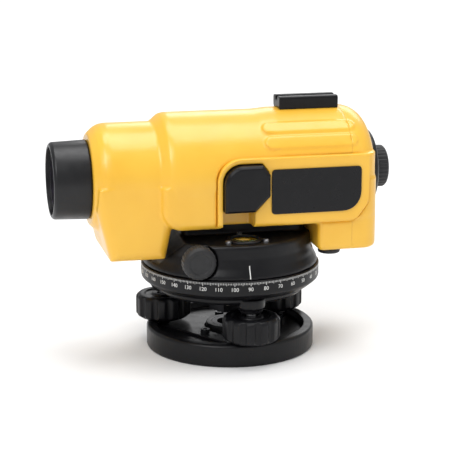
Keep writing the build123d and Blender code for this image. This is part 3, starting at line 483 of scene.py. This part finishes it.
def softened(nodes, voxel, passes, keep):
    """Mesh of CAD nodes whose sharp edges are rolled over, as cast or moulded edges are."""
    bm = bmesh.new()
    for node in nodes:
        bm.from_mesh(NODES[node].data)
    bmesh.ops.remove_doubles(bm, verts=bm.verts, dist=1e-6)
    bmesh.ops.triangulate(bm, faces=bm.faces)
    mesh = bpy.data.meshes.new("soften_source")
    bm.to_mesh(mesh)
    bm.free()
    source = bpy.data.objects.new("soften_source", mesh)
    bpy.context.scene.collection.objects.link(source)
    remesh = source.modifiers.new("voxels", "REMESH")
    remesh.mode = "VOXEL"
    remesh.voxel_size = voxel * MM
    smooth = source.modifiers.new("smooth", "SMOOTH")
    smooth.factor = 0.5
    smooth.iterations = passes
    if keep < 1:
        thin = source.modifiers.new("thin", "DECIMATE")
        thin.ratio = keep
    graph = bpy.context.evaluated_depsgraph_get()
    made = bpy.data.meshes.new_from_object(source.evaluated_get(graph), depsgraph=graph)
    bpy.data.objects.remove(source)
    bpy.data.meshes.remove(mesh)
    return made


def soft_piece(name, nodes, voxel, passes, keep, material=None):
    """Softened copy of CAD nodes that share a body, standing for them."""
    made = softened(nodes, voxel, passes, keep)
    return finished(name, made, BODY_OF[nodes[0]], SLOT_OF[nodes[0]], material, nodes)


def cut_at_x(mesh, x, keep_above):
    """The part of a mesh on one side of a plane across X, closed again where it was cut."""
    bm = bmesh.new()
    bm.from_mesh(mesh)
    geometry = bm.verts[:] + bm.edges[:] + bm.faces[:]
    made = bmesh.ops.bisect_plane(
        bm,
        geom=geometry,
        plane_co=(x * MM, 0, 0),
        plane_no=(1, 0, 0),
        clear_outer=not keep_above,
        clear_inner=keep_above,
    )
    rim = [g for g in made["geom_cut"] if isinstance(g, bmesh.types.BMEdge)]
    bmesh.ops.triangle_fill(bm, edges=rim, use_beauty=True)
    bmesh.ops.recalc_face_normals(bm, faces=bm.faces)
    out = bpy.data.meshes.new("half")
    bm.to_mesh(out)
    bm.free()
    return out


# ---- telescope housing ------------------------------------------------------------------------------
def housing():
    """Cast shell in two pieces that part at the rear cover's joint."""
    joint = box("rear_cover")[0].x
    whole = softened(["housing_body", "rear_cover"], 0.7, 7, 0.30)
    for name, node, x, above in (
        ("housing_shell", "housing_body", joint - SEAM_GAP, False),
        ("rear_cover_shell", "rear_cover", joint + SEAM_GAP, True),
    ):
        half = cut_at_x(whole, x, above)
        finished(name, half, "head", "body_yellow", None, [node])
    soft_piece("side_frame_left", ["side_panel_left"], 0.4, 5, 0.3)
    soft_piece("side_frame_right", ["side_panel_right"], 0.4, 5, 0.3)
    soft_piece("sight_bar", ["gun_sight"], 0.3, 3, 0.4)
    soft_piece("prism_hood", ["prism_cover"], 0.35, 3, 0.4)
    soft_piece("blank_plates", ["name_plates"], 0.25, 3, 0.3, PLATE_BLACK)


def rotating_base():
    """Castings under the telescope, with their edges rolled over."""
    soft_piece("rotating_base", ["alidade_base"], 0.6, 4, 0.35)
    soft_piece("levelling_plate", ["tribrach"], 0.6, 3, 0.4)
    soft_piece("foot_plate", ["base_plate"], 0.5, 3, 0.35)
    soft_piece("seat_plate", ["spring_plate"], 0.3, 2, 0.3)


# ---- graduated circle -------------------------------------------------------------------------------
WALL_R = CIRCLE_R - 0.12
MARK_R = CIRCLE_R - 0.04
INDEX_ANGLE = -90.3
INDEX_READING = 90
BORE_R = 41.06
RECESS_R = 46.6
RECESS_Z = 43.4
NUMERAL_Z = 48.1
NUMERAL_HEIGHT = 2.3


def arc_pad(bm, radius_in, radius_out, angle, width, z0, z1):
    """Thin upright pad on a round wall: angle in degrees, width in millimetres."""
    half = width / 2 / radius_out
    middle = math.radians(angle)
    corners = []
    for r in (radius_in, radius_out):
        for a, z in ((-half, z0), (half, z0), (half, z1), (-half, z1)):
            corners.append(bm.verts.new((r * math.cos(middle + a), r * math.sin(middle + a), z)))
    inner, outer = corners[:4], corners[4:]
    bm.faces.new(outer)
    bm.faces.new(inner[::-1])
    for i in range(4):
        j = (i + 1) % 4
        bm.faces.new((inner[i], inner[j], outer[j], outer[i]))


def wrapped_text(text, angle, radius_in, radius_out):
    """Text as a thin mesh wrapped on a round wall, read from outside. Returns a mesh in mm."""
    curve = bpy.data.curves.new("numeral", "FONT")
    curve.body = text
    curve.size = NUMERAL_HEIGHT * 1.38
    curve.align_x = "CENTER"
    curve.align_y = "CENTER"
    curve.extrude = (radius_out - radius_in) / 2
    curve.resolution_u = 3
    holder = bpy.data.objects.new("numeral", curve)
    bpy.context.scene.collection.objects.link(holder)
    graph = bpy.context.evaluated_depsgraph_get()
    mesh = bpy.data.meshes.new_from_object(holder.evaluated_get(graph), depsgraph=graph)
    bpy.data.objects.remove(holder)
    bpy.data.curves.remove(curve)
    middle = (radius_in + radius_out) / 2
    for vertex in mesh.vertices:
        x, y, depth = vertex.co
        turn = math.radians(angle) + x / radius_out
        r = middle + depth
        vertex.co = (r * math.cos(turn), r * math.sin(turn), NUMERAL_Z + y)
    return mesh


def graduated_circle():
    """Ring with a mark for each degree and a number for each ten."""
    low_z = CIRCLE_LOW.z
    outline = rounded(
        [
            (BORE_R, RECESS_Z, 0.2),
            (RECESS_R, RECESS_Z, 0.3),
            (RECESS_R, low_z, 0.4),
            (WALL_R - 5.0, low_z, 0.8),
            (WALL_R - 0.5, RECESS_Z + 0.5, 0.9),
            (WALL_R, RECESS_Z + 1.4, 0.6),
            (WALL_R, CIRCLE_TOP - 0.5, 0.45),
            (WALL_R - 0.6, CIRCLE_TOP, 0.4),
            (BORE_R, CIRCLE_TOP, 0.2),
        ]
    )
    ring = turned(outline, segments=180)
    piece("circle_ring", ring, "circle", "plastic_black", replaces=["horizontal_circle"])
    bm = bmesh.new()
    for degree in range(360):
        reach = 1.9 if degree % 10 == 0 else 1.55 if degree % 5 == 0 else 1.1
        width = 0.30 if degree % 10 == 0 else 0.24
        top = CIRCLE_TOP - 0.75
        arc_pad(bm, WALL_R - 0.05, MARK_R, INDEX_ANGLE - degree, width, top - reach, top)
    piece("circle_degrees", bm, "circle", "plastic_black", WHITE_MARK, flat=True)
    bm = bmesh.new()
    for degree in range(0, 360, 10):
        number = str((degree + INDEX_READING) % 360)
        mesh = wrapped_text(number, INDEX_ANGLE - degree, WALL_R - 0.05, MARK_R)
        bm.from_mesh(mesh)
        bpy.data.meshes.remove(mesh)
    piece("circle_numerals", bm, "circle", "plastic_black", WHITE_MARK, flat=True)


# radius of the rotating base's front wall at a few heights
SKIRT_LINE = ((53.9, 52.9), (55.4, 52.6), (57.4, 51.6), (59.4, 50.62), (61.2, 50.1))


def index_line():
    """White reading line on the front of the rotating base."""
    bm = bmesh.new()
    angle = math.radians(INDEX_ANGLE)
    across = Vector((-math.sin(angle), math.cos(angle), 0)) * 0.28
    out = Vector((math.cos(angle), math.sin(angle), 0))
    rows = []
    for z, r in SKIRT_LINE:
        row = []
        for depth in (-0.3, 0.12):
            for side in (-1, 1):
                spot = out * (r + depth) + across * side
                row.append(bm.verts.new((spot.x, spot.y, z)))
        rows.append(row)
    for low, high in zip(rows, rows[1:]):
        for i, j in ((0, 1), (1, 3), (3, 2), (2, 0)):
            bm.faces.new((low[i], low[j], high[j], high[i]))
    bm.faces.new([rows[0][i] for i in (0, 1, 3, 2)])
    bm.faces.new([rows[-1][i] for i in (2, 3, 1, 0)])
    piece("index_line", bm, "head", "plastic_black", WHITE_MARK, flat=True)


# ---- circular bubble --------------------------------------------------------------------------------
def bubble_vial():
    """Circular bubble: cup, spirit, target ring, bubble and window."""
    seat_z = VIAL_LOW.z
    top = VIAL_HIGH.z
    glass_low, glass_high = box("vial_glass")
    glass_r = (glass_high.x - glass_low.x) / 2
    place = upright(VIAL_X, VIAL_Y)
    cup = rounded(
        [
            (0, seat_z),
            (VIAL_R, seat_z, 0.2),
            (VIAL_R, top - 0.8, 0.3),
            (VIAL_R - 0.9, top, 0.4),
            (glass_r + 0.05, top, 0.3),
            (glass_r + 0.05, glass_low.z, 0.1),
            (0, glass_low.z),
        ]
    )
    piece("vial_housing", turned(cup, place, 96), "head", "black_anodised", replaces=["vial_cup"])
    level = glass_high.z - 0.95
    dome = []
    dome_r = 45.0
    for k in range(9):
        r = (glass_r - 0.1) * (1 - k / 8)
        dome.append((r, level - dome_r + math.sqrt(dome_r**2 - r**2)))
    liquid = [(0, glass_low.z + 0.02), (glass_r - 0.1, glass_low.z + 0.02)] + dome
    piece("vial_spirit", turned(liquid, place, 96), "head", "vial_fluid", vial_liquid())
    target = [(4.1, level - 0.2), (4.55, level - 0.2), (4.55, level + 0.04), (4.1, level + 0.08)]
    ring = rounded(target, 0.05, 2)
    piece("vial_target", turned(ring, place, 96), "head", "plastic_black", PLATE_BLACK)
    bubble_place = upright(VIAL_X - 0.3, VIAL_Y - 0.4)
    lens = [(0, level - 0.4)]
    for k in range(12):
        a = math.pi / 2 * k / 11
        lens.append((3.1 * math.cos(a), level + 0.02 + 0.42 * math.sin(a)))
    piece("vial_bubble", turned(lens, bubble_place, 64), "head", "vial_fluid", bubble_skin())
    cover = [(glass_r, level + 0.35)]
    for k in range(9):
        r = glass_r * (1 - k / 8)
        cover.append((r, glass_high.z - dome_r + math.sqrt(dome_r**2 - r**2) - 0.02))
    for k in range(8):
        r = glass_r * k / 8
        cover.append((r, glass_high.z - 0.32 - dome_r + math.sqrt(dome_r**2 - r**2)))
    piece("vial_window", turned(cover, place, 96), "head", "vial_fluid", replaces=["vial_glass"])


# ---- knobs ------------------------------------------------------------------------------------------
def levelling_knob(key):
    """Scalloped levelling knob with its neck and ball foot."""
    node = f"foot_screw_{key}"
    low, high = box(node)
    x, y = (low.x + high.x) / 2, (low.y + high.y) / 2
    ball_z, ball_r = 8.5, 5.0
    grip_low, top, r = 14.2, high.z, 17.0
    ball = []
    for k in range(11):
        a = -math.pi / 2 + (math.pi / 2 + 0.9) * k / 10
        ball.append((ball_r * math.cos(a), ball_z + ball_r * math.sin(a)))
    ball[0] = (0, ball_z - ball_r)
    body = rounded(
        [
            (3.0, 13.0, 0.3),
            (3.0, grip_low, 0.4),
            (r - 3.0, grip_low, 0.6),
            (r - 0.05, grip_low + 2.0, 1.0),
            (r - 0.05, top - 1.6, 1.2),
            (r - 1.8, top, 1.2),
            (r - 5.0, top, 0.5),
            (r - 6.0, top - 1.2, 0.5),
            (7.4, top - 1.2, 0.4),
            (6.6, top, 0.5),
            (4.0, top, 0.3),
            (4.0, 16.0, 0.1),
            (0, 16.0),
        ]
    )
    # rounded() treats the list as closed; its first corner joins the ball's neck
    flutes = Flutes(12, 2.5, r + 1.0, 0.9, low=grip_low + 0.3)
    made = turned(ball + body, upright(x, y), 288, flutes)
    piece(f"levelling_knob_{key}", made, f"foot_{key}", "plastic_black", replaces=[node])


def tangent_knobs():
    """The pair of fluted fine-motion knobs on the ends of the worm."""
    low, high = box("tangent_knob_left")
    x, z = (low.x + high.x) / 2, (low.z + high.z) / 2
    r = (high.x - low.x) / 2 - SKIN_GAP
    near, depth = -high.y, high.y - low.y
    outline = rounded(
        [
            (2.52, 0.0, 0.1),
            (r - 1.5, 0.0, 0.6),
            (r, 1.5, 0.8),
            (r, depth - 2.2, 1.3),
            (r - 1.9, depth - 0.02, 1.2),
            (r - 3.4, depth - 0.02, 0.4),
            (r - 4.0, depth - 0.7, 0.4),
            (0, depth - 0.9),
            (0, depth - 2.0),
            (2.52, depth - 2.0, 0.1),
        ]
    )
    for name, side in (("left", -1), ("right", 1)):
        flutes = Flutes(24, 0.85, r + 0.45, 0.4, low=0.8, high=depth - 1.2)
        made = turned(outline, along_y(x, side * near, z, side), 240, flutes)
        node = f"tangent_knob_{name}"
        piece(f"slow_motion_knob_{name}", made, "worm", "grip_black", replaces=[node])


def focusing_knob():
    """Fluted focusing knob on the far side."""
    low, high = box("focus_knob")
    x, z = (low.x + high.x) / 2, (low.z + high.z) / 2
    r = (high.x - low.x) / 2 - SKIN_GAP
    depth = high.y - low.y
    outline = rounded(
        [
            (2.02, 0.0, 0.1),
            (r - 1.2, 0.0, 0.5),
            (r, 1.2, 0.6),
            (r - 0.5, depth - 2.4, 1.4),
            (r - 2.8, depth - 0.02, 1.4),
            (r - 4.6, depth - 0.02, 0.4),
            (r - 5.2, depth - 0.8, 0.4),
            (r - 6.2, depth - 0.8, 0.4),
            (r - 6.8, depth - 0.1, 0.4),
            (0, depth - 0.02),
            (0, depth - 1.8),
            (2.02, depth - 1.8, 0.1),
        ]
    )
    flutes = Flutes(24, 1.1, r + 0.5, 0.5, low=1.0, high=depth - 1.0)
    made = turned(outline, along_y(x, low.y, z), 240, flutes)
    piece("focusing_knob", made, "focus_shaft", "grip_black", replaces=["focus_knob"])


# stations along the objective mount
SHELL_FACE_X = -86.4
SPIGOT_END_X = -72.0
GUIDE_X = -38.0
LENS_SEAT_X = -76.0
RETAINER_X = -94.0


def objective_mount():
    """Turned objective mount from the CAD tube's own measures, and a softened copy of the tube's rear
    part as the focus guide.
    """
    r = (TUBE_HIGH.y - TUBE_LOW.y) / 2 - SKIN_GAP
    outline = rounded(
        [
            (20.0, FRONT_X, 0.4),
            (r - 2.0, FRONT_X, 0.6),
            (r - 0.7, FRONT_X + 1.4, 0.7),
            (r, SHELL_FACE_X - 0.8, 0.5),
            (r - 0.6, SHELL_FACE_X, 0.2),
            (r - 1.5, SHELL_FACE_X, 0.1),
            (r - 1.5, SPIGOT_END_X, 0.2),
            (19.0, SPIGOT_END_X, 0.2),
            (19.0, GUIDE_X, 0.3),
            (16.0, GUIDE_X, 0.3),
            (16.0, LENS_SEAT_X, 0.1),
            (18.0, LENS_SEAT_X, 0.1),
            (18.0, RETAINER_X, 0.3),
            (20.0, RETAINER_X, 0.2),
        ]
    )
    piece("objective_mount", turned(outline, along_x(), 192), "head", "black_anodised")
    guide = cut_at_x(softened(["objective_tube"], 0.4, 2, 0.4), GUIDE_X, True)
    finished("focus_guide", guide, "head", "black_anodised", None, ["objective_tube"])


def eyepiece_parts():
    """Flange and sliding tube of the eyepiece with their edges broken."""
    low, high = box("eyepiece_flange")
    r = (high.y - low.y) / 2 - SKIN_GAP
    face, back = high.x - 5.2, high.x
    flange = rounded(
        [
            (9.06, low.x, 0.1),
            (11.0, low.x, 0.2),
            (11.0, face, 0.1),
            (r, face, 0.2),
            (r, face + 2.4, 0.8),
            (r - 1.6, face + 3.8, 1.2),
            (14.4, back - 0.3, 0.8),
            (13.6, back, 0.4),
            (9.06, back, 0.2),
        ]
    )
    seat = turned(flange, along_x(), 160)
    piece("eyepiece_seat", seat, "head", "black_anodised", replaces=["eyepiece_flange"])
    low, high = box("eyepiece_tube")
    tube_r = (high.y - low.y) / 2 - SKIN_GAP
    tube = rounded(
        [
            (7.5, low.x, 0.1),
            (tube_r, low.x, 0.2),
            (tube_r, high.x - 0.6, 0.4),
            (tube_r - 0.6, high.x, 0.4),
            (6.0, high.x, 0.4),
            (6.0, high.x - 1.0, 0.2),
            (7.5, high.x - 1.0, 0.1),
        ]
    )
    barrel = turned(tube, along_x(), 128)
    piece("eye_tube", barrel, "eyepiece_slide", "black_anodised", replaces=["eyepiece_tube"])


def eyepiece():
    """Fluted ring that turns to focus the eyepiece."""
    low, high = box("eyepiece_knob")
    r = (high.y - low.y) / 2 - SKIN_GAP
    depth = high.x - low.x
    outline = rounded(
        [
            (9.06, 0.0, 0.1),
            (r - 0.8, 0.0, 0.4),
            (r, 0.8, 0.4),
            (r, depth - 1.2, 0.7),
            (r - 1.2, depth, 0.6),
            (9.06, depth, 0.2),
        ]
    )
    flutes = Flutes(30, 0.65, r + 0.3, 0.3, low=0.7, high=depth - 0.6)
    piece(
        "dioptre_ring",
        turned(outline, along_x(low.x), 300, flutes),
        "eyepiece_ring",
        "grip_black",
        replaces=["eyepiece_knob"],
    )


def check_button():
    """Push button under the rear box: a rounded cap, its stem and the head that meets the spring."""
    low, high = box("check_button")
    middle = (low + high) / 2
    cap_r = (high.x - low.x) / 2 - 0.03
    outline = rounded(
        [
            (0, low.z),
            (cap_r, low.z, 1.4),
            (cap_r, low.z + 2.95, 0.9),
            (2.35, low.z + 2.95, 0.3),
            (2.35, high.z - 2.0, 0.1),
            (3.7, high.z - 2.0, 0.2),
            (3.7, high.z, 0.3),
            (0, high.z),
        ],
        steps=6,
    )
    made = turned(outline, upright(middle.x, middle.y), 128)
    slot = SLOT_OF["check_button"]
    piece("button_cap", made, BODY_OF["check_button"], slot, replaces=["check_button"])


def build():
    housing()
    rotating_base()
    graduated_circle()
    index_line()
    bubble_vial()
    for key in "abc":
        levelling_knob(key)
    tangent_knobs()
    focusing_knob()
    objective_mount()
    eyepiece()
    eyepiece_parts()
    check_button()


build()


# ---- stage, light and camera ------------------------------------------------------------------------
def stage():
    """Plain pale floor."""
    t = Tree("pale_floor")
    tone = t.remap(t.noise(160.0, detail=3.0), 0.3, 0.7)
    base = t.mix(tone, (0.90, 0.90, 0.895), (0.87, 0.87, 0.87))
    t.principled(Base_Color=base, Roughness=0.75, Normal=t.bump(t.noise(2.0), 0.02, 0.1))
    bm = bmesh.new()
    bmesh.ops.create_grid(bm, x_segments=8, y_segments=8, size=6.0)
    mesh = bpy.data.meshes.new("floor")
    bm.to_mesh(mesh)
    bm.free()
    mesh.materials.append(t.material)
    floor = bpy.data.objects.new("floor", mesh)
    bpy.context.scene.collection.objects.link(floor)


def softbox(name, where, aim, width, height, power):
    """Rectangular light, sizes and places in metres."""
    light = bpy.data.lights.new(name, "AREA")
    light.shape = "RECTANGLE"
    light.size, light.size_y = width, height
    light.energy = power
    lamp = bpy.data.objects.new(name, light)
    bpy.context.scene.collection.objects.link(lamp)
    lamp.location = where
    lamp.rotation_mode = "QUATERNION"
    lamp.rotation_quaternion = (Vector(aim) - Vector(where)).to_track_quat("-Z", "Y")


def lighting():
    """Soft studio light: four softboxes round the object and a pale surround."""
    world = bpy.data.worlds.new("studio")
    bpy.context.scene.world = world
    world.use_nodes = True
    back = world.node_tree.nodes["Background"]
    back.inputs["Color"].default_value = (0.97, 0.98, 1.0, 1.0)
    back.inputs["Strength"].default_value = 0.48
    middle = (0, 0, 0.08)
    softbox("key", (-2.6, -2.6, 3.9), middle, 2.8, 2.8, 132.0)
    softbox("top", (0.4, 0.4, 4.4), middle, 3.6, 2.4, 128.0)
    softbox("fill", (3.6, -2.4, 1.4), middle, 2.4, 3.2, 12.0)
    softbox("rim", (2.0, 3.6, 2.4), middle, 3.2, 1.6, 50.0)


CAMERA_AT = (-215.9, -902.1, 296.7)
CAMERA_AIM = (-3.0, 0.0, 74.0)


def camera():
    """View from the objective end of the near side, a little above."""
    data = bpy.data.cameras.new("camera")
    data.sensor_width = 36.0
    data.lens = 126.0
    data.clip_start, data.clip_end = 0.01, 50.0
    holder = bpy.data.objects.new("camera", data)
    bpy.context.scene.collection.objects.link(holder)
    holder.location = mm(*CAMERA_AT)
    target = mm(*CAMERA_AIM)
    holder.rotation_mode = "QUATERNION"
    holder.rotation_quaternion = (target - holder.location).to_track_quat("-Z", "Y")
    bpy.context.scene.camera = holder
    bpy.context.scene.view_settings.view_transform = "Standard"


stage()
lighting()
camera()
